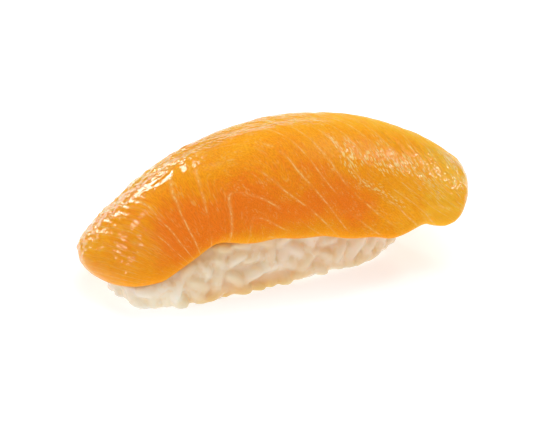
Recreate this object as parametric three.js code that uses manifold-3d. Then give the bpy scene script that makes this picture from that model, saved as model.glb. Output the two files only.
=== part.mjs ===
// Salmon nigiri: one slice of raw salmon draped over a hand-pressed block of vinegared rice.
// Millimetres, +Z up, +X along the rice, -Y the front. The rice stands on z = 0, and the
// origin is the middle of the whole piece's footprint.

import * as THREE from 'three';
import { mergeVertices } from 'three/addons/utils/BufferGeometryUtils.js';
import Module from 'manifold-3d';

const { degToRad, lerp, mapLinear, smoothstep } = THREE.MathUtils;

// The salmon slice as it lies flat on the board, before it is draped.
const SLICE_LENGTH = 85.3;
const SLICE_WIDTH = 37.4;
const SLICE_THICKNESS = 6.9;
const LEFT_END_CURVE = 0.25; // how much the left end bows out, 0 for a straight end
const RIGHT_END_CURVE = 0.02;
const CORNER_ROUNDING = 0.12;
const EDGE_THINNING = 0.27; // share of the thickness lost at the long edges
const THINNING_START = 0.25; // share of the half width, from the middle
const EDGE_RADIUS = 2.7; // how far in from the outline the rounding of the edge begins
const EDGE_RIPPLE = { height: 0.2, waves: [9, 17], starts: [1, 4] }; // uneven hand cut

// Its front edge: trimmed back near the right end, drawn in where the left end starts to droop,
// and bulging in between. Places and spreads are shares of the half length.
const TRIM = { depth: 5.2, place: 0.805, spread: 0.15 };
const WAIST = { depth: 1.7, place: -0.61, spread: 0.2 };
const BELLY = { depth: 1.1, place: 0.1, spread: 0.35 };

// Long shallow valley in its top that parts the back strip from the fat front. It runs in from
// the left end and out towards the right end, over shares of the half length.
const VALLEY = { depth: 0.7, place: 0.22, slant: 0.18, spread: 0.16 };
const VALLEY_LENGTH = { start: -1, runIn: 0.3, end: 0.75, runOut: 0.9 };

// The slice on the rice: it lies askew, and bends away from its crest on every side.
const SLICE_TURN = degToRad(-11.2);
const SLICE_SHIFT = new THREE.Vector2(2.4, -1.1);
const CREST_X = 7.5;
const CREST_HEIGHT = 24; // of its underside, which is the top of the rice
const BEND_REACH = 45; // length over which an end takes up its whole bend
const LEFT_BEND = { even: degToRad(49), late: degToRad(7.5) };
const RIGHT_BEND = { even: degToRad(45.4), late: degToRad(12) };
const SIDE_BEND = degToRad(54.6); // slope of the long edges at the middle
const SIDE_BEND_REACH = 12.2;
const SIDE_BEND_FADE = 0.43; // both ends bend less than the middle
const SIDE_BEND_SPAN = 40;

// The rice block, out to the middle line of its outermost grains.
const RICE_LENGTH = 62.2;
const RICE_WIDTH = 22;
const RICE_CENTRE = new THREE.Vector2(-1.5, -0.4);
const RICE_TURN = degToRad(3.3);
const RICE_SQUARENESS = 3.7; // 2 would be an oval, more is nearer to an oblong
const RICE_CAP_HEIGHT = 26; // before the slice presses into its top
const RICE_CLEARANCE = 0.3; // gap that stays between rice and fish
const FOOT = { drawnIn: 0.07, height: 5 }; // shares of the outline, millimetres above the ground
const SHOULDER = { drawnIn: 0.3, height: 15 };
const BLOCK_LEVELS = [0, 1.5, 4, 9, 14, 18, 22, RICE_CAP_HEIGHT];

// One cooked grain.
const GRAIN_LENGTH = 6.4;
const GRAIN_THICKNESS = 3.2;
const GRAIN_BLUNTNESS = 0.72; // 1 would be an oval, less has blunter ends
const GRAIN_SPACING = 3.8;
const GRAIN_SIZE_SPREAD = 0.16;
const GRAIN_SINK = 0.4; // how deep its middle lies below the block's surface
const GRAIN_SINK_SPREAD = 0.8;
const GRAIN_STRAY = 0.3; // how far it strays from its even place, as a share of the spacing
const GRAIN_TILT_SPREAD = 0.7; // radians
const FIRST_GRAIN_ROW = 1.3;
const LAST_GRAIN_ROW = 20;
const GRAIN_SEED = 12;

// Mesh fineness.
const SLICE_SEGMENTS = { length: 38, width: 14, rim: 4 };
const BLOCK_SIDES = 40;
const GRAIN_SIDES = 5;
const GRAIN_RINGS = 4;
const BEND_STEPS = 40;

const wasm = await Module();
wasm.setup();

function toSolid(geometry) {
  const bare = geometry.clone();
  bare.deleteAttribute('normal');
  bare.deleteAttribute('uv');
  const welded = mergeVertices(bare, 1e-4);
  return new wasm.Manifold(new wasm.Mesh({
    numProp: 3,
    vertProperties: new Float32Array(welded.attributes.position.array),
    triVerts: new Uint32Array(welded.index.array),
  }));
}

function toGeometry(solid) {
  const { vertProperties, triVerts } = solid.getMesh();
  const geometry = new THREE.BufferGeometry();
  geometry.setAttribute('position', new THREE.BufferAttribute(vertProperties, 3));
  geometry.setIndex(new THREE.BufferAttribute(triVerts, 1));
  geometry.computeVertexNormals();
  return geometry;
}

function moveVertices(geometry, place) {
  const position = geometry.attributes.position;
  const point = new THREE.Vector3();
  for (let i = 0; i < position.count; i += 1) {
    place(point.fromBufferAttribute(position, i));
    position.setXYZ(i, point.x, point.y, point.z);
  }
  return geometry;
}

// Repeatable random numbers from 0 to 1.
function randomSource(seed) {
  let state = seed;
  return () => {
    state = (state * 48271) % 2147483647;
    return state / 2147483647;
  };
}

// Where a sheet that slopes by slopeAt(s) ends up after a length: how far along, how far down.
function followBend(slopeAt, length) {
  const step = length / BEND_STEPS;
  const end = { along: 0, down: 0, slope: slopeAt(length) };
  for (let i = 0; i < BEND_STEPS; i += 1) {
    const slope = slopeAt((i + 0.5) * step);
    end.along += Math.cos(slope) * step;
    end.down += Math.sin(slope) * step;
  }
  return end;
}

// ---- The salmon slice ----

// A soft bump, 1 at its place.
function bump(value, { place, spread }) {
  return Math.exp(-(((value - place) / spread) ** 2));
}

// Point of the flat slice's top face, inside its round rim. u and v run from -1 to 1.
function slicePoint(u, v, inset) {
  const endCurve = u < 0 ? LEFT_END_CURVE : RIGHT_END_CURVE;
  const x = (SLICE_LENGTH / 2 - inset) * u * Math.sqrt(1 - endCurve * v ** 2 - CORNER_ROUNDING * v ** 8);
  const y = (SLICE_WIDTH / 2 - inset) * v * Math.sqrt(1 - CORNER_ROUNDING * u ** 8);
  const trim = TRIM.depth * smoothstep(u, TRIM.place - TRIM.spread, TRIM.place + TRIM.spread);
  const drawnIn = trim + WAIST.depth * bump(u, WAIST) - BELLY.depth * bump(u, BELLY);
  const waves = EDGE_RIPPLE.waves.map((wave, i) => Math.sin(wave * u + EDGE_RIPPLE.starts[i]));
  const ripple = EDGE_RIPPLE.height * (waves[0] + waves[1]) * v ** 4;
  return new THREE.Vector2(x, y + drawnIn * Math.max(0, -v) ** 2 + ripple);
}

// Outward direction of the flat slice's outline, at a point of its edge.
function outlineNormal(u, v, inset) {
  const step = 1e-3;
  const outward = new THREE.Vector2();
  if (Math.abs(v) === 1) {
    const run = slicePoint(u + step, v, inset).sub(slicePoint(u - step, v, inset)).normalize();
    outward.add(new THREE.Vector2(-run.y, run.x).multiplyScalar(v));
  }
  if (Math.abs(u) === 1) {
    const run = slicePoint(u, v + step, inset).sub(slicePoint(u, v - step, inset)).normalize();
    outward.add(new THREE.Vector2(run.y, -run.x).multiplyScalar(u));
  }
  return outward.normalize();
}

function valley(u, v) {
  const { start, runIn, end, runOut } = VALLEY_LENGTH;
  const length = smoothstep(u - start, 0, runIn) * smoothstep(end - u, 0, runOut);
  return VALLEY.depth * bump(v - VALLEY.slant * u, VALLEY) * length;
}

// Lays a point of the flat slice, at a height above its underside, on the rice.
function drape(flat, height) {
  const laid = flat.clone().rotateAround(new THREE.Vector2(), SLICE_TURN).add(SLICE_SHIFT);
  const end = laid.x < CREST_X ? -1 : 1;
  const bend = end < 0 ? LEFT_BEND : RIGHT_BEND;
  const lengthwise = followBend((s) => {
    const share = s / BEND_REACH;
    return bend.even * share + bend.late * share ** 3;
  }, Math.abs(laid.x - CREST_X));

  const share = laid.x / SIDE_BEND_SPAN;
  const sideBend = SIDE_BEND * (1 - SIDE_BEND_FADE * share ** 2);
  const crosswise = followBend((s) => sideBend * smoothstep(s, 0, SIDE_BEND_REACH), Math.abs(laid.y));

  const across = Math.sign(laid.y) * (crosswise.along + height * Math.sin(crosswise.slope));
  const above = height * Math.cos(crosswise.slope) - crosswise.down;
  return new THREE.Vector3(
    CREST_X + end * (lengthwise.along + above * Math.sin(lengthwise.slope)),
    across,
    CREST_HEIGHT - lengthwise.down + above * Math.cos(lengthwise.slope),
  );
}

// Box of the slice's flat form, each face a grid: top, underside, and a rim to be rounded.
function sliceBox() {
  const { length, width, rim } = SLICE_SEGMENTS;
  return new THREE.BoxGeometry(2, 2, 2, length, width, rim);
}

function buildSlice() {
  const geometry = moveVertices(sliceBox(), (point) => {
    const { x: u, y: v, z: level } = point;
    const flat = slicePoint(u, v, EDGE_RADIUS);
    const thickness = SLICE_THICKNESS * (1 - EDGE_THINNING * smoothstep(Math.abs(v), THINNING_START, 1));
    const onEdge = Math.abs(u) === 1 || Math.abs(v) === 1;
    if (onEdge) {
      const roundness = EDGE_RADIUS * Math.cos(level * Math.PI / 2);
      flat.addScaledVector(outlineNormal(u, v, EDGE_RADIUS), roundness);
    }
    const rise = (1 + Math.sin(level * Math.PI / 2)) / 2;
    const dip = level === 1 && !onEdge ? valley(u, v) : 0;
    point.copy(drape(flat, thickness * rise - dip));
  });
  return toSolid(geometry);
}

// Everything that the slice's underside, with its clearance, keeps free of rice.
function buildRicePress() {
  const overhang = 2;
  const reach = 16;
  const geometry = moveVertices(sliceBox(), (point) => {
    const flat = slicePoint(point.x, point.y, -overhang);
    point.copy(drape(flat, mapLinear(point.z, -1, 1, -RICE_CLEARANCE, reach)));
  });
  return toSolid(geometry);
}

// ---- The rice ----

// Outline of the rice block at an angle round it, as a share of its full size.
function riceOutline(angle, share) {
  const shape = (value) => Math.sign(value) * Math.abs(value) ** (2 / RICE_SQUARENESS);
  const x = (RICE_LENGTH / 2) * shape(Math.cos(angle)) * share;
  const y = (RICE_WIDTH / 2) * shape(Math.sin(angle)) * share;
  return new THREE.Vector2(x, y).rotateAround(new THREE.Vector2(), RICE_TURN).add(RICE_CENTRE);
}

// The block swells a little above its foot and rounds off towards its top.
function riceShare(z) {
  const foot = FOOT.drawnIn * (1 - smoothstep(z, 0, FOOT.height));
  const shoulder = SHOULDER.drawnIn * smoothstep(z, SHOULDER.height, RICE_CAP_HEIGHT) ** 2;
  return 1 - foot - shoulder;
}

function buildRiceBlock() {
  const profile = [new THREE.Vector2(0, 0)];
  for (const z of BLOCK_LEVELS) profile.push(new THREE.Vector2(riceShare(z), z));
  profile.push(new THREE.Vector2(0, RICE_CAP_HEIGHT));
  const geometry = new THREE.LatheGeometry(profile, BLOCK_SIDES);
  geometry.rotateX(Math.PI / 2);
  return toSolid(moveVertices(geometry, (point) => {
    const share = Math.hypot(point.x, point.y);
    const outline = riceOutline(Math.atan2(point.y, point.x), share);
    point.x = outline.x;
    point.y = outline.y;
  }));
}

// Places for the grains that show: rows up the sides, evenly spaced, each row with its own start.
function grainPlaces(random) {
  const places = [];
  const rowHeight = GRAIN_SPACING * Math.sqrt(3) / 2;
  const turn = 0.01;
  for (let z = FIRST_GRAIN_ROW; z < LAST_GRAIN_ROW; z += rowHeight) {
    const share = riceShare(z);
    let last = riceOutline(0, share);
    let walked = random() * GRAIN_SPACING;
    for (let angle = 0; angle < 2 * Math.PI; angle += turn) {
      const next = riceOutline(angle, share);
      walked += next.distanceTo(last);
      last = next;
      if (walked < GRAIN_SPACING) continue;
      walked = (random() - 0.5) * GRAIN_STRAY * GRAIN_SPACING;
      const ahead = riceOutline(angle + turn, share).sub(next).normalize();
      places.push({
        centre: new THREE.Vector3(next.x, next.y, z + (random() - 0.5) * GRAIN_STRAY * rowHeight),
        outward: new THREE.Vector3(ahead.y, -ahead.x, 0),
      });
    }
  }
  return places;
}

function buildGrain(place, random) {
  const grain = moveVertices(new THREE.SphereGeometry(0.5, GRAIN_SIDES, GRAIN_RINGS), (point) => {
    point.y = Math.sign(point.y) * Math.abs(2 * point.y) ** GRAIN_BLUNTNESS / 2;
  });
  const size = lerp(1 - GRAIN_SIZE_SPREAD, 1 + GRAIN_SIZE_SPREAD, random());
  grain.scale(GRAIN_THICKNESS * size, GRAIN_LENGTH * size, GRAIN_THICKNESS);
  const spin = new THREE.Quaternion().setFromAxisAngle(new THREE.Vector3(0, 0, 1), Math.PI * random());
  const lean = GRAIN_TILT_SPREAD * (random() - 0.5);
  const tilt = new THREE.Quaternion().setFromAxisAngle(new THREE.Vector3(1, 0, 0), lean);
  const face = new THREE.Quaternion().setFromUnitVectors(new THREE.Vector3(0, 0, 1), place.outward);
  grain.applyQuaternion(face.multiply(spin).multiply(tilt));
  const proud = GRAIN_SINK_SPREAD * (random() - 0.5) - GRAIN_SINK;
  const centre = place.centre.clone().addScaledVector(place.outward, proud);
  grain.translate(centre.x, centre.y, centre.z);
  return toSolid(grain);
}

function buildFloor() {
  const slab = new THREE.BoxGeometry(120, 80, 20);
  slab.translate(0, 0, -10);
  return toSolid(slab);
}

function buildRice() {
  const random = randomSource(GRAIN_SEED);
  const press = buildRicePress();
  const grains = [];
  for (const place of grainPlaces(random)) grains.push(buildGrain(place, random));
  const heap = wasm.Manifold.union([buildRiceBlock(), ...grains]);
  return heap.subtract(press).subtract(buildFloor());
}

// ---- The whole piece ----

const salmonMaterial = new THREE.MeshStandardMaterial({ color: 0xee8420, roughness: 0.32, metalness: 0 });
const riceMaterial = new THREE.MeshStandardMaterial({ color: 0xefe6d6, roughness: 0.5, metalness: 0 });

function named(name, solid, material) {
  const mesh = new THREE.Mesh(toGeometry(solid), material);
  mesh.name = name;
  return mesh;
}

const nigiri = new THREE.Group();
nigiri.add(named('rice', buildRice(), riceMaterial));
nigiri.add(named('salmon', buildSlice(), salmonMaterial));

const bounds = new THREE.Box3().setFromObject(nigiri);
const middle = bounds.getCenter(new THREE.Vector3());
for (const mesh of nigiri.children) mesh.position.set(-middle.x, -middle.y, -bounds.min.z);

export default nigiri;
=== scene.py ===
import math

import bpy
import numpy as np
from bpy.props import FloatProperty, FloatVectorProperty, IntProperty, PointerProperty
from mathutils import Matrix, Quaternion, Vector, noise
from mathutils.bvhtree import BVHTree
from mathutils.kdtree import KDTree


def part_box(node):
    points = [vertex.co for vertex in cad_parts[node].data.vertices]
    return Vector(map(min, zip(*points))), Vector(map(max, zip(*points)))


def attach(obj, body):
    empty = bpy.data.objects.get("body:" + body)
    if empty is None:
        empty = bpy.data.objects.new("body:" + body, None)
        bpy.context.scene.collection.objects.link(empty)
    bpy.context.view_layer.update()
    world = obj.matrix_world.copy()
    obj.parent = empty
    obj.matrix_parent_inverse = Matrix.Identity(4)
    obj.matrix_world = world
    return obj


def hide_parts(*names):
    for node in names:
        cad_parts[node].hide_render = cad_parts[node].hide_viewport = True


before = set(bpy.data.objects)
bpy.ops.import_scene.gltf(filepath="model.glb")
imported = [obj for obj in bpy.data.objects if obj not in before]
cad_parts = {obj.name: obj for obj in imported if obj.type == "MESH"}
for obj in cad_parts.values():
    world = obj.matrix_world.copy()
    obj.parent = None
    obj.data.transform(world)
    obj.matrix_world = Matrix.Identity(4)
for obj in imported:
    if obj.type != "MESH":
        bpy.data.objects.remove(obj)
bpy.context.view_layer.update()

# Salmon nigiri: a slice of raw salmon draped over a hand-pressed block of cooked rice.
# Metres, +Z up, +X along the rice, -Y the front. Slice and grains are worked out in the rice
# block's own frame, and then moved by where the CAD slice lies.

bl_info = {
    "name": "Salmon nigiri",
    "version": (1, 0, 0),
    "blender": (4, 5, 0),
    "location": "3D View > Sidebar > Nigiri",
    "description": "Builds a salmon nigiri from its sizes, with rice grains, fish and a studio",
    "category": "Add Mesh",
}

MM = 0.001
BODY = "root"

# Fineness of the slice's mesh, of its bends, and of the rim that its box is measured from.
# Then how near to 1 counts as the edge, and the step that the edge's direction is taken over.
BEND_STEPS = 40
SLICE_FACES_LONG = 160
SLICE_FACES_WIDE = 72
SLICE_RIM_RINGS = 4
RIM_POINTS, RIM_LEVELS = 400, 9
ON_EDGE, OUTLINE_TEST = 1e-6, 1e-3

# The slice's front edge: how far along the half length each change lies, and how wide it is.
TRIM_PLACE, TRIM_SPREAD = 0.805, 0.15
WAIST_PLACE, WAIST_SPREAD = -0.61, 0.2
BELLY_PLACE, BELLY_SPREAD = 0.1, 0.35
EDGE_WAVES = ((9, 1), (17, 4))
THINNING_START = 0.25

# The valley in its top: place and slant as shares of the half width, and where it runs out.
VALLEY_PLACE, VALLEY_SLANT, VALLEY_SPREAD = 0.22, 0.18, 0.16
VALLEY_END, VALLEY_RUN_OUT = 0.75, 0.9
VALLEY_START, VALLEY_RUN_IN = -1, 0.3

# Millimetres on the flat slice: a short furrow near its right end, and the streaks and patches
# of wet grains round it, each from, to and half width.
FURROW = ((22.6, 1.0), (33.9, -7.6))
WET_STREAKS = (
    ((10.6, -2.4), (13.7, -7.7), 0.7),
    ((14.0, -3.2), (15.0, -4.4), 1.2),
    ((16.9, -4.8), (18.4, -6.9), 0.5),
    ((19.8, -4.4), (24.4, -4.8), 1.9),
    ((26.0, -3.2), (34.6, -7.9), 1.3),
    ((16.1, -9.0), (26.3, -12.4), 0.8),
    ((37.0, 2.0), (38.5, -4.0), 1.6),
)

# Width of a flake of flesh, and the point that the flakes bow round.
FLAKE_WIDTH = 4.3
FLAKE_HUB = (-9, -30)

# Rice block: how its foot and shoulder draw in, and its rows of grains.
FOOT_HEIGHT, FOOT_DRAW = 5 * MM, 0.07
SHOULDER_START, SHOULDER_TOP, SHOULDER_DRAW = 15 * MM, 26 * MM, 0.3
FIRST_GRAIN_ROW = 1.3 * MM
LAST_GRAIN_ROW = 20 * MM

# Its pressed underside: the height of the grains' middles, and how far in their rings lie.
BASE_GRAIN_HEIGHT = 0.8 * MM
BASE_RING_INSETS = (2.8 * MM, 6.0 * MM, 9.2 * MM)
OUTLINE_STEP = 0.01

# How far from the fish the rice gets painted shade and orange bounce light from it.
PAINTED_SHADE_REACH = 6 * MM


def share_property(name, description, default, high=1.0):
    """A plain number from 0 up."""
    return FloatProperty(name=name, description=description, default=default, min=0, max=high)


def size_property(name, description, millimetres):
    """A length, given in millimetres and kept in metres."""
    return FloatProperty(
        name=name, description=description, default=millimetres * MM, unit="LENGTH", precision=5)


def angle_property(name, description, degrees):
    """An angle, given in degrees and kept in radians."""
    return FloatProperty(
        name=name, description=description, default=math.radians(degrees), subtype="ANGLE")


def colour_property(name, description, default):
    """A linear colour."""
    return FloatVectorProperty(
        name=name, description=description, default=default, subtype="COLOR", size=3, min=0, max=1)


class SalmonSettings(bpy.types.PropertyGroup):
    length: size_property("Length", "Length of the slice as it lies flat", 85.3)
    width: size_property("Width", "Width of the flat slice", 37.4)
    thickness: size_property("Thickness", "Thickness in the middle", 6.9)
    left_curve: share_property("Left end curve", "How much the left end bows out", 0.25)
    right_curve: share_property("Right end curve", "How much the right end bows out", 0.02)
    corner_rounding: share_property("Corner rounding", "How far the corners draw in", 0.12)
    edge_thinning: share_property("Edge thinning", "Thickness lost at the long edges", 0.27)
    edge_radius: size_property("Edge radius", "How far in the rounding of the edge begins", 2.7)
    edge_ripple: size_property("Edge ripple", "Unevenness of the hand cut outline", 0.2)
    trim_depth: size_property("Trim depth", "Step in the front edge near the right end", 5.2)
    waist_depth: size_property("Waist depth", "How far the front edge draws in on the left", 1.7)
    belly_depth: size_property("Belly depth", "How far the front edge bulges in the middle", 1.1)
    valley_depth: size_property("Valley depth", "Long valley on the back of the top", 0.7)
    furrow_depth: size_property("Furrow depth", "Short furrow near the right end", 0.3)
    turn: angle_property("Turn", "How far askew the slice lies on the rice", -11.2)
    shift_x: size_property("Shift along", "Slice's middle, along the rice", 2.4)
    shift_y: size_property("Shift across", "Slice's middle, across the rice", -1.1)
    crest_x: size_property("Crest place", "Highest point of the slice, along the rice", 7.5)
    crest_height: size_property("Crest height", "Height of the underside at the crest", 24)
    bend_reach: size_property("Bend reach", "Length over which an end bends", 45)
    left_bend: angle_property("Left bend", "Even part of the left end's bend", 49)
    left_bend_late: angle_property("Left bend, late", "Part of it that comes near the tip", 7.5)
    right_bend: angle_property("Right bend", "Even part of the right end's bend", 45.4)
    right_bend_late: angle_property("Right bend, late", "Part of it that comes near the tip", 12)
    side_bend: angle_property("Side bend", "Slope of the long edges at the middle", 54.6)
    side_bend_reach: size_property("Side bend reach", "Width over which it is taken up", 12.2)
    side_bend_fade: share_property("Side bend fade", "How much less the ends bend", 0.43)
    side_bend_span: size_property("Side bend span", "Length over which that fades", 40)
    deep_colour: colour_property("Deep flesh", "Flesh where it is thick", (0.97, 0.24, 0.017))
    amber_colour: colour_property("Amber flesh", "Flesh near the edges", (1.00, 0.39, 0.014))
    light_colour: colour_property("Light flesh", "Flesh at the right end", (1.00, 0.49, 0.032))
    fat_colour: colour_property("Fat", "Thin lines of fat between the flakes", (1.00, 0.56, 0.17))
    # Partly the fat's own colour, partly painted glints.
    speck_and_glint_colour: colour_property("Specks", "Small wet grains of fat, painted pale partly as glints", (1.00, 0.64, 0.20))
    thread_colour: colour_property("Threads", "Fine darker threads", (0.60, 0.115, 0.004))


class RiceSettings(bpy.types.PropertyGroup):
    length: size_property("Length", "Length of the block, to the middle of its outer grains", 62.2)
    width: size_property("Width", "Width of the block, likewise", 22)
    centre_x: size_property("Place along", "Middle of the block, along it", -1.5)
    centre_y: size_property("Place across", "Middle of the block, across it", -0.4)
    turn: angle_property("Turn", "How far the block is turned", 3.3)
    squareness: share_property("Squareness", "2 is an oval, more is nearer to an oblong", 3.7, 10)
    grain_length: size_property("Grain length", "Length of a cooked grain", 6.4)
    grain_thickness: size_property("Grain thickness", "Thickness of a cooked grain", 3.2)
    grain_spacing: size_property("Grain spacing", "Distance between grains in a row", 3.8)
    grain_sink: size_property("Grain sink", "How deep a grain's middle lies", 0.4)
    grain_sink_spread: size_property("Sink spread", "How unequally deep the grains lie", 0.8)
    grain_size_spread: share_property("Size spread", "How unequal the grains are", 0.16)
    grain_stray: share_property("Stray", "How far grains stray from even places", 0.3)
    grain_tilt_spread: angle_property("Tilt spread", "How far grains tip out of the surface", 40)
    clearance: size_property("Clearance", "Gap between rice and fish", 0.1)
    seed: IntProperty(name="Seed", description="Start of the random draws", default=12, min=1)
    pale_colour: colour_property("Pale grain", "The whitest grains", (0.90, 0.80, 0.65))
    warm_colour: colour_property("Warm grain", "The most translucent grains", (0.86, 0.70, 0.48))
    # Painted shade: orange shade and bounce light under the fish, and shade at the foot of the
    # block.
    stained_colour: colour_property("Grain in painted shade", "Shade painted on rice by the fish and at its foot", (0.80, 0.50, 0.20))


class StageSettings(bpy.types.PropertyGroup):
    azimuth: angle_property("Azimuth", "How far left of the front the camera is", 26.27)
    elevation: angle_property("Elevation", "How far above the floor the camera is", 23.73)
    distance: size_property("Distance", "From the camera to the piece", 586.77)
    aim_height: size_property("Aim height", "Height that the camera looks at", 14)
    aim_right: size_property("Aim right", "How far right of the piece's middle it looks", 3.94)
    aim_down: size_property("Aim down", "How far below that height it looks", 3.40)
    focal_length: FloatProperty(
        name="Focal length", description="Lens, in millimetres", default=187.5,
        subtype="DISTANCE_CAMERA")
    floor_colour: colour_property("Floor", "Plain pale floor", (0.62, 0.62, 0.62))
    floor_glow: share_property("Floor glow", "Light from below through the pale floor", 0.95)
    room_light: share_property("Room light", "Brightness of the room all round", 0.08)


# ---- Helpers for meshes ----

def smooth_step(value, low, high):
    share = np.clip((value - low) / (high - low), 0, 1)
    return share * share * (3 - 2 * share)


def soft_bump(value, place, spread):
    """1 at its place, falling off smoothly on both sides."""
    return np.exp(-(((value - place) / spread) ** 2))


def read_points(piece):
    points = np.empty(len(piece.data.vertices) * 3, np.float32)
    piece.data.vertices.foreach_get("co", points)
    return points.reshape(-1, 3).astype(float)


def write_points(piece, points):
    piece.data.vertices.foreach_set("co", points.astype(np.float32).ravel())
    piece.data.update()


def write_attributes(piece, **attributes):
    """Gives each point of the piece a number under each name."""
    for name, values in attributes.items():
        attribute = piece.data.attributes.new(name, "FLOAT", "POINT")
        attribute.data.foreach_set("value", np.asarray(values, np.float32))


def noise_at(points, size, seed):
    """Smooth noise from -1 to 1 at points, with features of about that size."""
    offset = Vector((seed * 17.3, seed * 5.1, seed * 11.7))
    return np.array([noise.noise(Vector(point) / size + offset) for point in points])


def apply_modifier(piece, name, kind, **values):
    modifier = piece.modifiers.new(name, kind)
    for key, value in values.items():
        setattr(modifier, key, value)
    bpy.context.view_layer.objects.active = piece
    bpy.ops.object.modifier_apply(modifier=modifier.name)


def start_piece(name):
    piece = bpy.context.active_object
    piece.name = name
    piece.data.name = name
    return piece


def deselect():
    bpy.ops.object.select_all(action="DESELECT")


def close_mesh():
    """Turns all the faces out, and leaves edit mode."""
    bpy.ops.mesh.select_all(action="SELECT")
    bpy.ops.mesh.normals_make_consistent(inside=False)
    bpy.ops.object.mode_set(mode="OBJECT")


def turned(x, y, angle):
    cosine, sine = math.cos(angle), math.sin(angle)
    return x * cosine - y * sine, x * sine + y * cosine


def random_source(seed):
    """Repeatable random numbers from 0 to 1."""
    state = seed
    while True:
        state = (state * 48271) % 2147483647
        yield state / 2147483647


def follow_bend(slope_at, length):
    """Where sheets that slope by slope_at(s) end up after their lengths: along, down, slope."""
    steps = (np.arange(BEND_STEPS) + 0.5) / BEND_STEPS
    slopes = slope_at(length[:, None] * steps)
    along = np.cos(slopes).mean(axis=1) * length
    down = np.sin(slopes).mean(axis=1) * length
    return along, down, slope_at(length[:, None])[:, 0]


# ---- The slice's form ----

def slice_point(salmon, u, v, inset):
    """Point of the flat slice's top face, inside its round rim. u and v run from -1 to 1."""
    end_curve = np.where(u < 0, salmon.left_curve, salmon.right_curve)
    # The corners round off sharply along the ends, and gently further in, so nothing folds.
    sharpness = 2 + 6 * np.abs(u) ** 40
    bowed = np.sqrt(1 - end_curve * v**2 - salmon.corner_rounding * np.abs(v) ** sharpness)
    x = (salmon.length / 2 - inset) * u * bowed
    y = (salmon.width / 2 - inset) * v * np.sqrt(1 - salmon.corner_rounding * u**8)
    trim = salmon.trim_depth * smooth_step(u, TRIM_PLACE - TRIM_SPREAD, TRIM_PLACE + TRIM_SPREAD)
    waist = salmon.waist_depth * soft_bump(u, WAIST_PLACE, WAIST_SPREAD)
    belly = salmon.belly_depth * soft_bump(u, BELLY_PLACE, BELLY_SPREAD)
    drawn_in = (trim + waist - belly) * np.maximum(0, -v) ** 2
    ripple = salmon.edge_ripple * sum(np.sin(wave * u + start) for wave, start in EDGE_WAVES) * v**4
    return np.stack([x, y + drawn_in + ripple], axis=1)


def outline_normal(salmon, u, v, inset):
    """Outward direction of the flat slice's outline at each point of its edge."""
    step = OUTLINE_TEST
    run_u = slice_point(salmon, u + step, v, inset) - slice_point(salmon, u - step, v, inset)
    run_v = slice_point(salmon, u, v + step, inset) - slice_point(salmon, u, v - step, inset)
    run_u /= np.linalg.norm(run_u, axis=1, keepdims=True)
    run_v /= np.linalg.norm(run_v, axis=1, keepdims=True)
    on_side = (np.abs(v) > 1 - ON_EDGE)[:, None]
    on_end = (np.abs(u) > 1 - ON_EDGE)[:, None]
    outward = np.zeros_like(run_u)
    outward += on_side * np.stack([-run_u[:, 1], run_u[:, 0]], axis=1) * v[:, None]
    outward += on_end * np.stack([run_v[:, 1], -run_v[:, 0]], axis=1) * u[:, None]
    length = np.linalg.norm(outward, axis=1, keepdims=True)
    return outward / np.maximum(length, 1e-9)


def slice_thickness(salmon, v):
    return salmon.thickness * (1 - salmon.edge_thinning * smooth_step(np.abs(v), THINNING_START, 1))


def slice_place(salmon, u, v, level):
    """Flat place, height and thickness there. level runs from -1 at the bottom to 1 on top."""
    radius = salmon.edge_radius
    reach = radius * np.cos(level * np.pi / 2)
    flat = slice_point(salmon, u, v, radius)
    flat += outline_normal(salmon, u, v, radius) * reach[:, None]
    thickness = slice_thickness(salmon, v)
    return flat, thickness * (1 + np.sin(level * np.pi / 2)) / 2, thickness


def valley(salmon, u, v):
    """Depth of the valley on the back half of the top face."""
    length = smooth_step(u - VALLEY_START, 0, VALLEY_RUN_IN)
    length *= smooth_step(VALLEY_END - u, 0, VALLEY_RUN_OUT)
    width = soft_bump(v - VALLEY_SLANT * u, VALLEY_PLACE, VALLEY_SPREAD)
    return salmon.valley_depth * width * length


def drape(salmon, flat, height):
    """Lays points of the flat slice, at heights above its underside, on the rice."""
    laid_x, laid_y = turned(*flat.T, salmon.turn)
    laid_x += salmon.shift_x
    laid_y += salmon.shift_y
    end = np.where(laid_x < salmon.crest_x, -1.0, 1.0)
    even = np.where(end < 0, salmon.left_bend, salmon.right_bend)[:, None]
    late = np.where(end < 0, salmon.left_bend_late, salmon.right_bend_late)[:, None]
    reach = salmon.bend_reach
    along, down, slope = follow_bend(
        lambda s: even * s / reach + late * (s / reach) ** 3, np.abs(laid_x - salmon.crest_x))
    fade = 1 - salmon.side_bend_fade * (laid_x / salmon.side_bend_span) ** 2
    side_bend = (salmon.side_bend * fade)[:, None]
    out, fall, lean = follow_bend(
        lambda s: side_bend * smooth_step(s, 0, salmon.side_bend_reach), np.abs(laid_y))
    across = np.sign(laid_y) * (out + height * np.sin(lean))
    above = height * np.cos(lean) - fall
    return np.stack([
        salmon.crest_x + end * (along + above * np.sin(slope)),
        across,
        salmon.crest_height - down + above * np.cos(slope),
    ], axis=1)


def frame_shift(salmon):
    """From the rice block's own frame to the CAD frame, by where the CAD slice lies."""
    side = np.linspace(-1, 1, RIM_POINTS)
    ends = np.ones_like(side)
    u = np.concatenate([side, side, -ends, ends])
    v = np.concatenate([-ends, ends, side, side])
    rings = []
    for level in np.linspace(-1, 1, RIM_LEVELS):
        flat, height, _ = slice_place(salmon, u, v, np.full_like(u, level))
        rings.append(drape(salmon, flat, height))
    rim = np.concatenate(rings)
    low, high = (np.array(corner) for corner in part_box("salmon"))
    shift = (low + high) / 2 - (rim.min(axis=0) + rim.max(axis=0)) / 2
    return np.array([shift[0], shift[1], 0.0])


# ---- The flesh: its flakes, tone and fine form. Millimetres on the flat slice. ----

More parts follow.
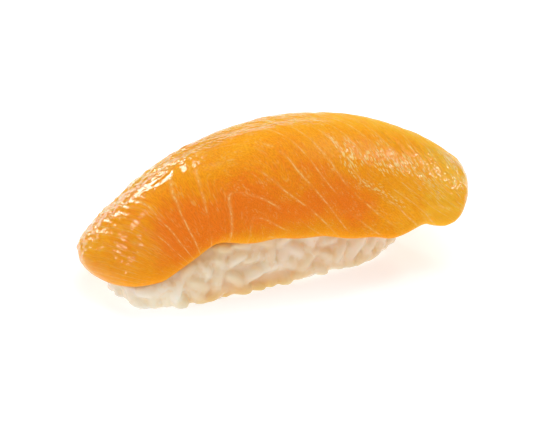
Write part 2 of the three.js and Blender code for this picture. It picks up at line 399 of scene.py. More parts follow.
def flesh_layers(x, y):
    """Which flake of flesh a point is in: whole numbers are the fat lines between them.

    The flakes nest like arches that open towards the front edge. Each arch has a steep left
    leg, a long right leg that runs down to the right, and a shallow crown. The second result
    is 1 on a crown.
    """
    left_lean = 0.35 - 0.95 * smooth_step(-x, 17, 33)
    left_run = left_lean * (y + 12) - x
    left_leg = (left_run - 8.7) / 4.4 + 0.018 * np.maximum(0, left_run - 20) ** 2
    rise = y + 1.12 * x + 17.8
    lower_flat = 0.07 * np.maximum(8 - x, 0) * np.clip((14 - rise) / 6, 0, 1)
    tail = 0.12 * np.maximum(x - 14, 0) * smooth_step(-y, 4, 13)
    right_leg = rise / 4.5 + lower_flat - tail
    crown = (y + 0.22 * x + 16.15) / 4.1
    softness = 0.14
    highest = np.maximum(np.maximum(left_leg, right_leg), crown)
    shares = [np.exp((leg - highest) / softness) for leg in (left_leg, right_leg, crown)]
    return highest + softness * np.log(sum(shares)), shares[2] / sum(shares)


def along_flakes(x, y):
    """How far along its flake a point lies, in flake widths."""
    radius = -FLAKE_HUB[1]
    return np.arctan2(y - FLAKE_HUB[1], x - FLAKE_HUB[0]) * radius / FLAKE_WIDTH


def flesh_tone(x, y):
    """0 in the thick deep orange flesh left of the middle, 1 in the light flesh at the right;
    lighter on the crest, partly as painted sheen.
    """
    lengthwise = smooth_step(x, -34, -24) * (1 - smooth_step(x, 6, 29))
    crosswise = (1 - smooth_step(y, -14, -2)) * smooth_step(y, -22, -14)
    # The crest is lighter: partly the flesh's own amber, partly painted sheen.
    crest = smooth_step(y, -3, 5) * (1 - smooth_step(y, 9, 15))
    light = 0.4 * smooth_step(x, 20, 40) + 0.25 * crest
    return 0.6 * (1 - lengthwise * crosswise) + light


def left_strip(x, y):
    """1 on the strip of the top that turns away to the back, left of the crest."""
    return smooth_step(-x, 6, 14) * smooth_step(y, -6.5, -3.5)


def graininess(x, y):
    """1 where wet grains of fat show: on the right part, the crest and the back left of it."""
    right = smooth_step(x, 2, 14) * smooth_step(y, -13, -5)
    right *= 1 - smooth_step(y - 0.2 * x, -6, -3.5)
    crest = smooth_step(y, -2, 2) * (1 - smooth_step(x, 8, 16))
    return np.clip(right + crest + 0.5 * left_strip(x, y), 0, 1)


def wetness(x, y):
    """1 where the surface is wet: the left end, the strip behind it, and where it is grainy.

    It is drier round the middle of the right part.
    """
    drier = 0.55 * (1 - smooth_step(np.abs(x - 18), 6, 16))
    left_end = smooth_step(-x, 24, 31) * smooth_step(y, -17, -10)
    return np.clip(graininess(x, y) * (1 - drier) + left_end + left_strip(x, y), 0, 1)


def away_from(x, y, start, end):
    """Distance of points from the stretch between two points."""
    run = np.subtract(end, start)
    points = np.stack([x, y], axis=1) - start
    share = np.clip(points @ run / (run @ run), 0, 1)
    return np.linalg.norm(points - share[:, None] * run, axis=1)


def wet_streaks(x, y):
    """1 along the streaks and patches of wet grains, 0 away from them."""
    streaks = [
        np.exp(-((away_from(x, y, start, end) / half_width) ** 2))
        for start, end, half_width in WET_STREAKS
    ]
    return np.max(streaks, axis=0)


def slice_relief(salmon, x, y, layers, along, height):
    """Height of the fine form: soft swells, flakes, sunk fat lines, ridges and the furrow."""
    points = np.column_stack([x, y, height])
    swell = 0.22 * noise_at(points, 11, 1) + 0.10 * noise_at(points, 4, 2)
    line = np.abs(layers - np.round(layers))
    groove = -0.09 * np.exp(-((line / 0.06) ** 2))
    flake = 0.045 * np.cos(2 * np.pi * layers)
    fibres = 0.035 * noise_at(np.column_stack([layers * FLAKE_WIDTH, along * 1.1, height]), 0.8, 4)

    # The left end is drawn into narrow ridges that lean across it, and the back into long ones.
    left_end = np.column_stack([x + 0.35 * y, (y - 0.35 * x) * 0.2, height])
    ridges = 0.45 * (0.3 - np.abs(noise_at(left_end, 1.5, 6))) + 0.06 * noise_at(left_end, 0.7, 10)
    ridges *= smooth_step(-x, 26, 32)
    lumps = 0.26 * noise_at(points, 1.4, 9) * smooth_step(-x, 8, 20) * smooth_step(y, -7, -3)
    back_strip = np.column_stack([x * 0.16, y, height])
    strands = 0.06 * noise_at(back_strip, 1.1, 7) * smooth_step(y, -1, 3)
    pebbles = 0.05 * noise_at(points, 0.75, 8) * graininess(x, y)
    dent = -salmon.furrow_depth / MM * soft_bump(away_from(x, y, *FURROW), 0, 0.6)
    return (swell + groove + flake + fibres + ridges + lumps + strands + pebbles + dent) * MM


# ---- The rice block's form ----

def rice_outline(rice, angle, share, inset=0.0):
    """Point of the block's outline at an angle round it, as a share of its full size."""
    cosine, sine = math.cos(angle), math.sin(angle)
    power = 2 / rice.squareness
    x = (rice.length / 2 - inset) * math.copysign(abs(cosine) ** power, cosine) * share
    y = (rice.width / 2 - inset) * math.copysign(abs(sine) ** power, sine) * share
    x, y = turned(x, y, rice.turn)
    return np.array([x + rice.centre_x, y + rice.centre_y])


def rice_share(z):
    """How full the block is at a height: it draws in at its foot and its shoulder."""
    foot = FOOT_DRAW * (1 - smooth_step(z, 0, FOOT_HEIGHT))
    shoulder = SHOULDER_DRAW * smooth_step(z, SHOULDER_START, SHOULDER_TOP) ** 2
    return 1 - foot - shoulder


def row_height(rice):
    return rice.grain_spacing * math.sqrt(3) / 2


def ring_places(rice, random, z, inset=0.0):
    """Middle and outward direction of each grain in one ring round the block."""
    share = rice_share(z)
    last = rice_outline(rice, 0.0, share, inset)
    walked = next(random) * rice.grain_spacing
    for step in range(math.ceil(2 * math.pi / OUTLINE_STEP)):
        angle = step * OUTLINE_STEP
        point = rice_outline(rice, angle, share, inset)
        walked += np.linalg.norm(point - last)
        last = point
        if walked < rice.grain_spacing:
            continue
        walked = (next(random) - 0.5) * rice.grain_stray * rice.grain_spacing
        ahead = rice_outline(rice, angle + OUTLINE_STEP, share, inset) - point
        height = z + (next(random) - 0.5) * rice.grain_stray * row_height(rice)
        yield Vector((*point, height)), Vector((ahead[1], -ahead[0], 0)).normalized()


def grain_places(rice, random):
    """Each grain that shows, in rows up the block's sides."""
    z = FIRST_GRAIN_ROW
    while z < LAST_GRAIN_ROW:
        yield from ring_places(rice, random, z)
        z += row_height(rice)


def base_places(rice, random):
    """Each grain of the pressed underside, facing down."""
    for inset in BASE_RING_INSETS:
        for middle, _ in ring_places(rice, random, BASE_GRAIN_HEIGHT, inset):
            yield middle, Vector((0, 0, -1))


def fish_surface():
    fish = bpy.data.objects["salmon_slice"]
    return BVHTree.FromObject(fish, bpy.context.evaluated_depsgraph_get())


def touch_of_fish(fish, points):
    """1 where rice lies against the fish, down to 0 where the painted shade from it ends."""
    gaps = [fish.find_nearest(Vector(point), PAINTED_SHADE_REACH)[3] for point in points]
    return np.array([0.0 if gap is None else 1 - gap / PAINTED_SHADE_REACH for gap in gaps])


# ---- Materials ----

class Finish:
    """A material, built up in steps that take sockets or plain values and return a socket."""

    def __init__(self, name):
        self.material = bpy.data.materials.new(name)
        self.material.use_nodes = True
        self.material.node_tree.nodes.clear()
        self.surface = self.node("ShaderNodeBsdfPrincipled", "Surface", {})
        shader = self.surface.outputs["BSDF"]
        self.node("ShaderNodeOutputMaterial", "Output", {"Surface": shader})

    def feed(self, node, values):
        """Links or sets a node's inputs."""
        for key, value in values.items():
            socket = node.inputs[key]
            if isinstance(value, bpy.types.NodeSocket):
                self.material.node_tree.links.new(value, socket)
            elif hasattr(socket.default_value, "__len__") and len(socket.default_value) == 4:
                socket.default_value = (*tuple(value)[:3], 1)
            else:
                socket.default_value = value

    def surfaced(self, values):
        """Feeds the surface, which ends the material."""
        self.feed(self.surface, values)
        return self.material

    def node(self, kind, label, inputs, **settings):
        node = self.material.node_tree.nodes.new(kind)
        node.label = label
        for key, value in settings.items():
            setattr(node, key, value)
        self.feed(node, inputs)
        return node

    def attribute(self, name):
        return self.node("ShaderNodeAttribute", name, {}, attribute_name=name).outputs["Fac"]

    def place(self):
        """Object coordinates."""
        return self.node("ShaderNodeTexCoord", "Place", {}).outputs["Object"]

    def combine(self, label, x, y):
        return self.node("ShaderNodeCombineXYZ", label, {"X": x, "Y": y}).outputs["Vector"]

    def noise(self, label, place, scale, detail=3.0):
        """Noise from 0 to 1. scale is in features for each unit of its place."""
        inputs = {"Vector": place, "Scale": scale, "Detail": detail, "Roughness": 0.6}
        return self.node("ShaderNodeTexNoise", label, inputs).outputs["Fac"]

    def specks(self, label, place, scale):
        """0 at the middle of each of many scattered specks, rising around them."""
        inputs = {"Vector": place, "Scale": scale}
        return self.node("ShaderNodeTexVoronoi", label, inputs).outputs["Distance"]

    def smooth_range(self, label, value, low, high, to_low=0.0, to_high=1.0):
        inputs = dict(enumerate((value, low, high, to_low, to_high)))
        node = self.node("ShaderNodeMapRange", label, inputs, interpolation_type="SMOOTHSTEP")
        return node.outputs["Result"]

    def calculate(self, label, operation, *values):
        inputs = dict(enumerate(values))
        return self.node("ShaderNodeMath", label, inputs, operation=operation).outputs["Value"]

    def times(self, label, first, second):
        return self.calculate(label, "MULTIPLY", first, second)

    def plus(self, label, first, second):
        return self.calculate(label, "ADD", first, second)

    def largest(self, label, first, second):
        return self.calculate(label, "MAXIMUM", first, second)

    def mix(self, label, share, first, second):
        inputs = {0: share, 6: first, 7: second}
        return self.node("ShaderNodeMix", label, inputs, data_type="RGBA").outputs[2]

    def bumps(self, label, strength, distance, height):
        inputs = {"Strength": strength, "Distance": distance, "Height": height}
        return self.node("ShaderNodeBump", label, inputs).outputs["Normal"]


def salmon_material(salmon):
    finish = Finish("raw_salmon")
    names = ("layers", "along", "tone", "wet", "grainy", "glint", "crown")
    layers, along, tone, wet, grainy, glint, crown = map(finish.attribute, names)
    place = finish.place()

    # The flakes' own coordinates, which waver a little, for all that follows the flesh.
    waver = finish.noise("Waver", place, 170.0, 2.0)
    waver = finish.calculate("Waver size", "MULTIPLY_ADD", waver, 0.3, -0.15)
    flake = finish.plus("Wavy flakes", layers, waver)
    flesh_place = finish.combine("Long streaks", flake, finish.times("Drawn out", along, 0.22))
    speck_place = finish.combine("Short specks", flake, finish.times("Speck length", along, 0.6))

    # Fat lines between the flakes, broken into beads, with fainter streaks between them.
    distance = finish.calculate("From the line", "PINGPONG", flake, 0.5)
    line = finish.smooth_range("Fat line", distance, 0.01, 0.05, 1.0, 0.0)
    beads = finish.noise("Beads", place, 1100.0, 1.0)
    beads = finish.smooth_range("Bead strength", beads, 0.43, 0.57, 0.08, 1.0)
    presence = finish.noise("Line presence", place, 170.0, 2.0)
    presence = finish.smooth_range("Presence", presence, 0.4, 0.58, 0.08, 0.95)
    crown = finish.smooth_range("Fainter on crowns", crown, 0.2, 0.9, 1.0, 0.3)
    presence = finish.times("Presence and crowns", presence, crown)
    beads = finish.times("Beads and presence", beads, presence)
    lines = finish.times("Thin lines", line, beads)
    soft_line = finish.smooth_range("Soft line", distance, 0.0, 0.13, 0.32, 0.0)
    soft_line = finish.times("Soft lines", soft_line, presence)
    lines = finish.largest("Fat lines", lines, soft_line)
    streaks = finish.noise("Streaks", flesh_place, 9.0, 2.0)
    streaks = finish.smooth_range("Streak share", streaks, 0.54, 0.74, 0.0, 0.23)

    # Wet grains of fat, small and bright, in clusters where the surface is open; their pale colour
    # is partly painted glints.
    specks = finish.specks("Specks", speck_place, 10.0)
    specks = finish.smooth_range("Speck share", specks, 0.3, 0.5, 1.0, 0.0)
    clusters = finish.noise("Clusters", speck_place, 2.2, 1.0)
    opened = finish.times("Wetter, more specks", glint, 0.35)
    clusters = finish.plus("Clusters and streaks", clusters, opened)
    clusters = finish.smooth_range("Cluster share", clusters, 0.48, 0.68)
    specks = finish.times("Specks in clusters", specks, clusters)
    any_wet = finish.largest("Wet or streaked", wet, glint)
    any_grainy = finish.largest("Grainy or streaked", grainy, glint)
    speck_presence = finish.largest("Few elsewhere", any_grainy, 0.25)
    specks = finish.times("Specks where grainy", specks, speck_presence)
    fat = finish.largest("Lines or streaks", lines, streaks)

    # Deep, amber and light flesh, with clouds and fibres in it.
    clouds = finish.noise("Clouds", place, 95.0, 3.0)
    clouds = finish.calculate("Cloud share", "MULTIPLY_ADD", clouds, 1.1, -0.56)
    fibres = finish.noise("Fibres", flesh_place, 10.0, 3.0)
    fibres = finish.calculate("Fibre share", "MULTIPLY_ADD", fibres, 0.7, -0.35)
    tone = finish.plus("Tone and clouds", tone, clouds)
    tone = finish.plus("Tone and fibres", tone, fibres)
    to_amber = finish.smooth_range("To amber", tone, 0.0, 0.62)
    to_light = finish.smooth_range("To light", tone, 0.6, 1.05)
    flesh = finish.mix("Deep or amber", to_amber, salmon.deep_colour, salmon.amber_colour)
    flesh = finish.mix("Or light", to_light, flesh, salmon.light_colour)
    threads = finish.noise("Threads", speck_place, 17.0, 2.0)
    threads = finish.smooth_range("Thread share", threads, 0.36, 0.66)
    strength = finish.smooth_range("Thread strength", tone, 0.5, 1.1, 0.31, 0.12)
    threads = finish.times("Threads by tone", threads, strength)
    flesh = finish.mix("Flesh and threads", threads, flesh, salmon.thread_colour)
    colour = finish.mix("Flesh and fat", fat, flesh, salmon.fat_colour)
    # The specks' pale colour: partly the fat's own, partly painted glints.
    colour = finish.mix("And specks", specks, colour, salmon.speck_and_glint_colour)

    # The moist surface: fine all over, coarser and glittering where it is wet.
    fine = finish.noise("Muscle grain", speck_place, 13.0, 1.0)
    fine = finish.times("Fine height", fine, 0.2)
    coarse = finish.noise("Wet grain", place, 1250.0, 0.0)
    coarse = finish.times("Coarse height", coarse, any_grainy)
    raised = finish.times("Raised grains", specks, 0.15)
    coarse = finish.plus("Grains and specks", coarse, raised)
    height = finish.plus("Height", fine, coarse)
    bump = finish.bumps("Moist bumps", 1.0, 0.16 * MM, height)
    return finish.surfaced({
        "Base Color": colour, "Normal": bump, "Coat Normal": bump,
        "Roughness": 0.36, "Specular IOR Level": 0.02,
        "Coat Weight": any_wet, "Coat IOR": 1.36, "Coat Roughness": 0.08,
        "Subsurface Weight": 0.5, "Subsurface Radius": (1.0, 0.35, 0.1),
        "Subsurface Scale": 1.6 * MM,
    })


def rice_material(rice):
    finish = Finish("cooked_rice")
    tone, stain = map(finish.attribute, ("tone", "stain"))
    place = finish.place()
    mottle = finish.noise("Mottle", place, 420.0, 3.0)
    mottle = finish.calculate("Mottle share", "MULTIPLY_ADD", mottle, 0.7, -0.35)
    shade = finish.plus("Shade", tone, mottle)
    shade = finish.smooth_range("Shade share", shade, 0.0, 1.0)
    colour = finish.mix("Pale or warm", shade, rice.pale_colour, rice.warm_colour)
    # Painted shade: orange shade and bounce light from the fish, and shade at the foot.
    stain = finish.calculate("Painted shade share", "POWER", stain, 2.0)
    colour = finish.mix("Painted shade from the fish", stain, colour, rice.stained_colour)
    skin = finish.noise("Grain skin", place, 900.0, 3.0)
    bump = finish.bumps("Grain skin bumps", 0.25, 0.2 * MM, skin)
    return finish.surfaced({
        "Base Color": colour, "Normal": bump,
        "Roughness": 0.34, "Specular IOR Level": 0.4,
        "Coat Weight": 0.45, "Coat Roughness": 0.12,
        "Subsurface Weight": 1.0, "Subsurface Radius": (1.0, 0.85, 0.65),
        "Subsurface Scale": 6 * MM,
    })


def floor_material(colour, glow):
    return Finish("plain_floor").surfaced({
        "Base Color": colour, "Emission Color": colour, "Emission Strength": glow,
        "Roughness": 0.9, "Specular IOR Level": 0.1,
    })


# ---- Helpers for the stage ----

def way_at(turn, rise):
    """Direction at a turn clockwise from straight behind, and at a rise above the floor."""
    flat = math.cos(rise)
    return Vector((math.sin(turn) * flat, math.cos(turn) * flat, math.sin(rise)))


def set_up(data, aim, way, distance):
    """Sets up a lamp or the camera at a distance from what it faces."""
    holder = bpy.data.objects.new(data.name, data)
    holder.location = aim + way * distance
    holder.rotation_euler = (-way).to_track_quat("-Z", "Y").to_euler()
    bpy.context.collection.objects.link(holder)
    return holder


# ---- Operators, one for each group of pieces ----

class NIGIRI_OT_salmon_slice(bpy.types.Operator):
    """Models the draped slice of salmon"""

    bl_idname = "nigiri.salmon_slice"
    bl_label = "Salmon slice"

    def execute(self, context):
        salmon = context.scene.nigiri_salmon
        piece = self.flat_box()
        self.shape(piece, salmon)
        bpy.ops.object.shade_smooth()
        piece.data.materials.append(salmon_material(salmon))
        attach(piece, BODY)
        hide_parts("salmon")
        return {"FINISHED"}

    def flat_box(self):
        """A grid sheet drawn up in rings to a box from -1 to 1 each way, split once more."""
        deselect()
        bpy.ops.mesh.primitive_grid_add(
            x_subdivisions=SLICE_FACES_LONG, y_subdivisions=SLICE_FACES_WIDE, size=2,
            location=(0, 0, -1))
        piece = start_piece("salmon_slice")
        bpy.ops.object.transform_apply(location=True, rotation=False, scale=False)
        bpy.ops.object.mode_set(mode="EDIT")
        bpy.ops.mesh.select_all(action="SELECT")
        for _ in range(SLICE_RIM_RINGS):
            bpy.ops.mesh.extrude_region_move(
                TRANSFORM_OT_translate={"value": (0, 0, 2 / SLICE_RIM_RINGS)})
        close_mesh()
        apply_modifier(
            piece, "Finer", "SUBSURF", subdivision_type="SIMPLE", levels=1, render_levels=1)
        return piece

    def shape(self, piece, salmon):
        """Turns the box into the flat slice, gives it its relief, and drapes it."""
        u, v, level = read_points(piece).T
        u, v = np.clip(u, -1, 1), np.clip(v, -1, 1)
        flat, height, thickness = slice_place(salmon, u, v, level)

        # Flesh lines run down through the slice, so a deeper point counts as further forward.
        x = flat[:, 0] / MM
        y = (flat[:, 1] - (thickness - height)) / MM
        layers, crown = flesh_layers(x, y)
        layers += 0.12 * noise_at(np.column_stack([x, y, height / MM]), 9, 3)
        along = along_flakes(x, y)
        relief = slice_relief(salmon, x, y, layers, along, height / MM)
        on_top = smooth_step(level, -0.9, 0.6)
        in_top = (level > 0) & (np.maximum(np.abs(u), np.abs(v)) < 1 - ON_EDGE)
        height = height + relief * on_top - valley(salmon, u, v) * in_top

        write_points(piece, drape(salmon, flat, height) + frame_shift(salmon))
        write_attributes(
            piece, layers=layers, crown=crown, along=along, tone=flesh_tone(x, y),
            wet=wetness(x, y), grainy=graininess(x, y), glint=wet_streaks(x, y))


class NIGIRI_OT_rice_core(bpy.types.Operator):
    """Models the pressed mass that the grains stick to"""

    bl_idname = "nigiri.rice_core"
    bl_label = "Rice core"

    SIDES = 160
    RING_HEIGHTS = (0.7, 1.2, 2, 3.5, 5, 7, 9, 11, 13, 15, 17, 19, 21, 23)
    TOP_RINGS = 6
    GAP_TO_FISH = 0.2 * MM
    BUMP_SIZE, BUMP_HEIGHT, BUMP_SEED = 2.2 * MM, 0.35 * MM, 5

    def execute(self, context):
        rice = context.scene.nigiri_rice
        deselect()
        bpy.ops.mesh.primitive_circle_add(vertices=self.SIDES, radius=1, fill_type="NGON")
        piece = start_piece("rice_core")
        bpy.ops.object.mode_set(mode="EDIT")
        bpy.ops.mesh.select_all(action="SELECT")
        for _ in self.RING_HEIGHTS[1:]:
            bpy.ops.mesh.extrude_region_move(TRANSFORM_OT_translate={"value": (0, 0, 1)})
        for ring in range(self.TOP_RINGS, 1, -1):
            bpy.ops.mesh.extrude_region_move()
            bpy.ops.transform.resize(value=((ring - 1) / ring, (ring - 1) / ring, 1))
        close_mesh()
        fish = fish_surface()
        self.shape(piece, rice, fish, frame_shift(context.scene.nigiri_salmon))
        return {"FINISHED"}

    def shape(self, piece, rice, fish, shift):
        """Gives the rings their heights and the block's outline, and keeps its top off the fish."""
        points = read_points(piece)
        heights = np.array(self.RING_HEIGHTS) * MM
        for i, (x, y, z) in enumerate(points):
            height = heights[int(round(z))]
            share = math.hypot(x, y) * rice_share(height)
            place = rice_outline(rice, math.atan2(y, x), share)
            points[i] = (place[0] + shift[0], place[1] + shift[1], height)
        bumps = noise_at(points, self.BUMP_SIZE, self.BUMP_SEED) * self.BUMP_HEIGHT
        for i, point in enumerate(points):
            hit = fish.ray_cast(Vector((point[0], point[1], 0)), Vector((0, 0, 1)))[0]
            if hit is not None:
                points[i][2] = min(point[2], hit.z - self.GAP_TO_FISH - abs(bumps[i]))
        write_points(piece, points)


class NIGIRI_OT_rice_grains(bpy.types.Operator):
    """Models one cooked grain, presses copies of it round the core and lets them stick"""

    bl_idname = "nigiri.rice_grains"
    bl_label = "Rice grains"

    # Where the grains of each layer lie, what is added to the seed, and how much deeper they sink.
    LAYERS = (
        (grain_places, 0, 0.0),
        (grain_places, 11, 0.7 * MM),
        (base_places, 29, -0.3 * MM),
    )
    TONE_SEED = 5
    SKIN_FINENESS = 0.24 * MM
    FILLET_ROUNDS = 15
    MOST_FACES = 190000
    SIDES = 12
    RINGS = 8
    BLUNTNESS, RIDGE_HEIGHT, TAPER, BEND = 0.72, 0.03, 0.12, 0.12
    MOST_PUSHES, PUSH_REACH, EXTRA_PUSH = 5, 5 * MM, 0.05 * MM
    LARGEST_PUSH = 2.5 * MM
    LEAST_DOWN = 0.15
    LEAST_GAP, GAP_REACH = 0.08 * MM, 0.6 * MM

    def execute(self, context):
        rice = context.scene.nigiri_rice
        grain = self.one_grain()
        shape = read_points(grain)
        fish = fish_surface()
        shift = Vector(frame_shift(context.scene.nigiri_salmon))
        tones = random_source(self.TONE_SEED)
        copies = []
        for places, seed, sink in self.LAYERS:
            random = random_source(rice.seed + seed)
            for middle, outward in list(places(rice, random)):
                place = self.grain_place(rice, random, middle + shift, outward, sink)
                points = self.clear_of_fish(fish, shape, place, rice.clearance)
                if points is not None:
                    copies.append((points, next(tones)))
        piece = self.joined(grain, copies)
        self.stick(piece)
        self.keep_off_fish(piece, fish)
        points = read_points(piece)
        # Each grain's own tone, with painted light and shade added along the block.
        write_attributes(
            piece, tone=self.grain_tones(points, copies) + self.painted_light_and_shade(points),
            stain=self.stains(piece, fish, points))
        piece.data.materials.append(rice_material(rice))
        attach(piece, BODY)
        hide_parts("rice")
        return {"FINISHED"}

    def one_grain(self):
        """A plump grain along Y, blunt at both ends, a little bent, with faint ridges along it."""
        deselect()
        bpy.ops.mesh.primitive_uv_sphere_add(
            segments=self.SIDES, ring_count=self.RINGS, radius=0.5, rotation=(math.pi / 2, 0, 0))
        grain = start_piece("rice_grains")
        bpy.ops.object.transform_apply(location=False, rotation=True, scale=False)
        x, y, z = read_points(grain).T
        y = np.sign(y) * np.abs(2 * y) ** self.BLUNTNESS / 2
        ridges = 1 + self.RIDGE_HEIGHT * np.cos(3 * np.arctan2(z, x))
        taper = 1 - self.TAPER * y
        bend = self.BEND * (1 - 4 * y**2)
        write_points(grain, np.column_stack([x * ridges * taper + bend, y, z * ridges * taper]))
        return grain

    def grain_place(self, rice, random, middle, outward, sink):
        spread = rice.grain_size_spread
        size = 1 - spread + 2 * spread * next(random)
        thickness = rice.grain_thickness
        scale = Matrix.Diagonal((thickness * size, rice.grain_length * size, thickness, 1))
        spin = Quaternion((0, 0, 1), math.pi * next(random))
        tilt = Quaternion((1, 0, 0), rice.grain_tilt_spread * (next(random) - 0.5))
        face = Vector((0, 0, 1)).rotation_difference(outward)
        proud = rice.grain_sink_spread * (next(random) - 0.5) - rice.grain_sink - sink
        turn = (face @ spin @ tilt).to_matrix().to_4x4()
        return Matrix.Translation(middle + outward * proud) @ turn @ scale

    def clear_of_fish(self, fish, shape, place, clearance):
        """The grain's points, pushed down and out from under the fish, or None if it can't go."""
        below = fish.ray_cast(place.translation, Vector((0, 0, -1)))[1]
        if below is not None and below.z > 0:
            return None
        matrix = np.array(place)
        points = shape @ matrix[:3, :3].T + matrix[:3, 3]
        pushed = 0.0
        for _ in range(self.MOST_PUSHES):
            worst, way = clearance, None
            for point in points[::2]:
                near, normal, _, _ = fish.find_nearest(Vector(point), self.PUSH_REACH)
                if near is None:
                    continue
                room = (Vector(point) - near).dot(normal)
                if room < worst:
                    worst, way = room, normal
            if way is None:
                points[:, 2] = np.maximum(points[:, 2], 0)
                return points
            if -way.z < self.LEAST_DOWN:
                return None
            step = clearance - worst + self.EXTRA_PUSH
            points = points + np.array(way) * step
            pushed += step
            if pushed > self.LARGEST_PUSH:
                return None
        return None

    def joined(self, grain, copies):
        """Joins a copy of the grain's mesh for each place."""
        grain_faces = [face.vertices[:] for face in grain.data.polygons]
        count = len(grain.data.vertices)
        points = np.concatenate([copy[0] for copy in copies])
        faces = [
            [corner + count * i for corner in face]
            for i in range(len(copies)) for face in grain_faces
        ]
        grain.data.clear_geometry()
        grain.data.from_pydata(points.tolist(), [], faces)
        return grain

    def stick(self, piece):
        """Joins the grains and the core to one skin, with soft fillets where they touch."""
        deselect()
        piece.select_set(True)
        bpy.data.objects["rice_core"].select_set(True)
        bpy.context.view_layer.objects.active = piece
        bpy.ops.object.join()
        apply_modifier(piece, "One skin", "REMESH", mode="VOXEL", voxel_size=self.SKIN_FINENESS)
        apply_modifier(piece, "Fillets", "SMOOTH", factor=0.5, iterations=self.FILLET_ROUNDS)
        share = self.MOST_FACES / (2 * len(piece.data.polygons))
        if share < 1:
            apply_modifier(piece, "Fewer faces", "DECIMATE", ratio=share)
        bpy.ops.object.shade_smooth()

    def keep_off_fish(self, piece, fish):
        """Moves the few points of the skin that reach the fish back to the least gap."""
        points = read_points(piece)
        for i, point in enumerate(points):
            near, normal, _, _ = fish.find_nearest(Vector(point), self.GAP_REACH)
            if near is None:
                continue
            room = (Vector(point) - near).dot(normal)
            if room < self.LEAST_GAP:
                points[i] += np.array(normal) * (self.LEAST_GAP - room)
        write_points(piece, points)

    def painted_light_and_shade(self, points):
        """Painted light and shade on the grains: whiter at the left end as painted light where the
        fish shades it, warmer between as painted shade under the fish, and whiter on the right.
        """
        x = points[:, 0] / MM
        left_end = 1 - smooth_step(x, -34, -25)
        painted_fish_shade, right = soft_bump(x, -18, 9), smooth_step(x, 2, 12)
        return 0.45 * painted_fish_shade - 0.6 * left_end - 0.25 * right

    def stains(self, piece, fish, points):
        """How much painted shade the rice gets: orange shade and bounce light against the fish,
        most left of the middle, and shade at its foot.
        """
        x, _, z = points.T / MM
        touch = touch_of_fish(fish, points) * (1 - 0.8 * smooth_step(np.abs(x + 15), 7, 19))
        foot = (1 - smooth_step(z, 0, 7)) * smooth_step(x, -29, -20)
        foot *= 1 - 0.35 * smooth_step(x, -8, 4)
        normals = np.empty(len(points) * 3, np.float32)
        piece.data.vertices.foreach_get("normal", normals)
        faces_down = smooth_step(-normals.reshape(-1, 3)[:, 2], 0.5, 0.9)
        return np.maximum(touch, foot * (1 - faces_down))

    def grain_tones(self, points, copies):
        """The tone of the grain that each point lies nearest to."""
        tree = KDTree(sum(len(copy[0]) for copy in copies))
        tones = []
        for grain_points, tone in copies:
            for point in grain_points:
                tree.insert(Vector(point), len(tones))
                tones.append(tone)
        tree.balance()
        return np.array([tones[tree.find(Vector(point))[1]] for point in points])


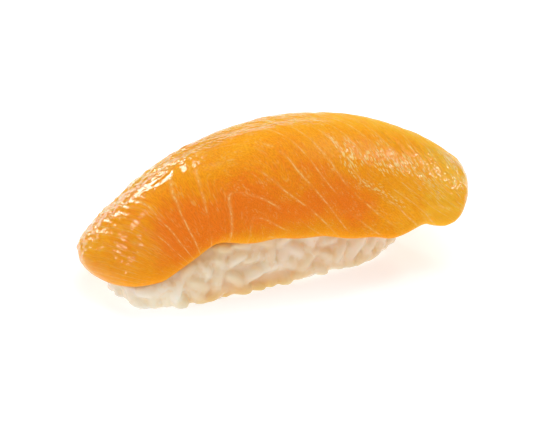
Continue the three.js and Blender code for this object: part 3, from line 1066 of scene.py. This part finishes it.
class NIGIRI_OT_stage(bpy.types.Operator):
    """Sets a pale floor, soft studio lights and the camera"""

    bl_idname = "nigiri.stage"
    bl_label = "Stage"

    FLOOR_SIZE = 8

    # Name, degrees clockwise from straight behind the piece, degrees up, distance, width,
    # height, brightness of its face.
    LIGHTS = (
        ("window_behind", -10, 27, 1.0, 0.2, 0.4, 11.0),
        ("low_window", 25, 10, 1.1, 0.4, 0.2, 1.3),
        ("window_left", -62, 42, 1.1, 0.18, 0.18, 16.0),
        ("lamp_left", -92, 30, 1.1, 0.14, 0.14, 18.0),
        ("window_right", 91, 38, 1.1, 0.18, 0.16, 20.0),
        ("overhead", 75, 72, 1.2, 1.2, 1.2, 2.08),
        ("front_fill", 200, 40, 1.2, 1.6, 1.2, 0.85),
    )

    def execute(self, context):
        stage = context.scene.nigiri_stage
        self.add_floor(stage)
        for light in self.LIGHTS:
            self.add_light(*light)
        self.add_camera(stage, Vector(frame_shift(context.scene.nigiri_salmon)))
        world = bpy.data.worlds.new("studio")
        world.use_nodes = True
        background = world.node_tree.nodes["Background"]
        background.inputs["Color"].default_value = (1, 1, 1, 1)
        background.inputs["Strength"].default_value = stage.room_light
        context.scene.world = world
        context.scene.view_settings.view_transform = "Standard"
        return {"FINISHED"}

    def add_floor(self, stage):
        deselect()
        bpy.ops.mesh.primitive_plane_add(size=self.FLOOR_SIZE)
        floor = start_piece("floor")
        floor.data.materials.append(floor_material(stage.floor_colour, stage.floor_glow))

    def add_light(self, name, turn, rise, distance, width, height, brightness):
        light = bpy.data.lights.new(name, "AREA")
        light.shape = "RECTANGLE"
        light.size, light.size_y = width, height
        light.energy = brightness * math.pi * width * height
        set_up(light, Vector(), way_at(math.radians(turn), math.radians(rise)), distance)

    def add_camera(self, stage, shift):
        right = Vector((math.cos(stage.azimuth), -math.sin(stage.azimuth), 0))
        back = way_at(stage.azimuth, stage.elevation) * Vector((-1, -1, 1))
        up = back.cross(right)
        middle = shift + Vector((0, 0, stage.aim_height))
        camera = bpy.data.cameras.new("camera")
        camera.lens = stage.focal_length
        camera.sensor_width = 36
        camera.clip_start = 0.01
        aim = middle + stage.aim_right * right - stage.aim_down * up
        bpy.context.scene.camera = set_up(camera, aim, back, stage.distance)


OPERATORS = (
    NIGIRI_OT_salmon_slice,
    NIGIRI_OT_rice_core,
    NIGIRI_OT_rice_grains,
    NIGIRI_OT_stage,
)


class NIGIRI_PT_panel(bpy.types.Panel):
    """Lists the sizes, and the steps that build the piece"""

    bl_idname = "NIGIRI_PT_panel"
    bl_label = "Nigiri"
    bl_space_type = "VIEW_3D"
    bl_region_type = "UI"
    bl_category = "Nigiri"

    def draw(self, context):
        for operator in OPERATORS:
            self.layout.operator(operator.bl_idname)
        for name in SETTINGS:
            settings = getattr(context.scene, name)
            box = self.layout.box()
            for key in settings.__annotations__:
                box.prop(settings, key)


SETTINGS = {
    "nigiri_salmon": SalmonSettings,
    "nigiri_rice": RiceSettings,
    "nigiri_stage": StageSettings,
}


def register():
    for kind in (*SETTINGS.values(), *OPERATORS, NIGIRI_PT_panel):
        bpy.utils.register_class(kind)
    for name, kind in SETTINGS.items():
        setattr(bpy.types.Scene, name, PointerProperty(type=kind))


def unregister():
    for name in SETTINGS:
        delattr(bpy.types.Scene, name)
    for kind in reversed((*SETTINGS.values(), *OPERATORS, NIGIRI_PT_panel)):
        bpy.utils.unregister_class(kind)


def main():
    register()
    bpy.ops.nigiri.salmon_slice()
    bpy.ops.nigiri.rice_core()
    bpy.ops.nigiri.rice_grains()
    bpy.ops.nigiri.stage()


if __name__ == "__main__":
    main()
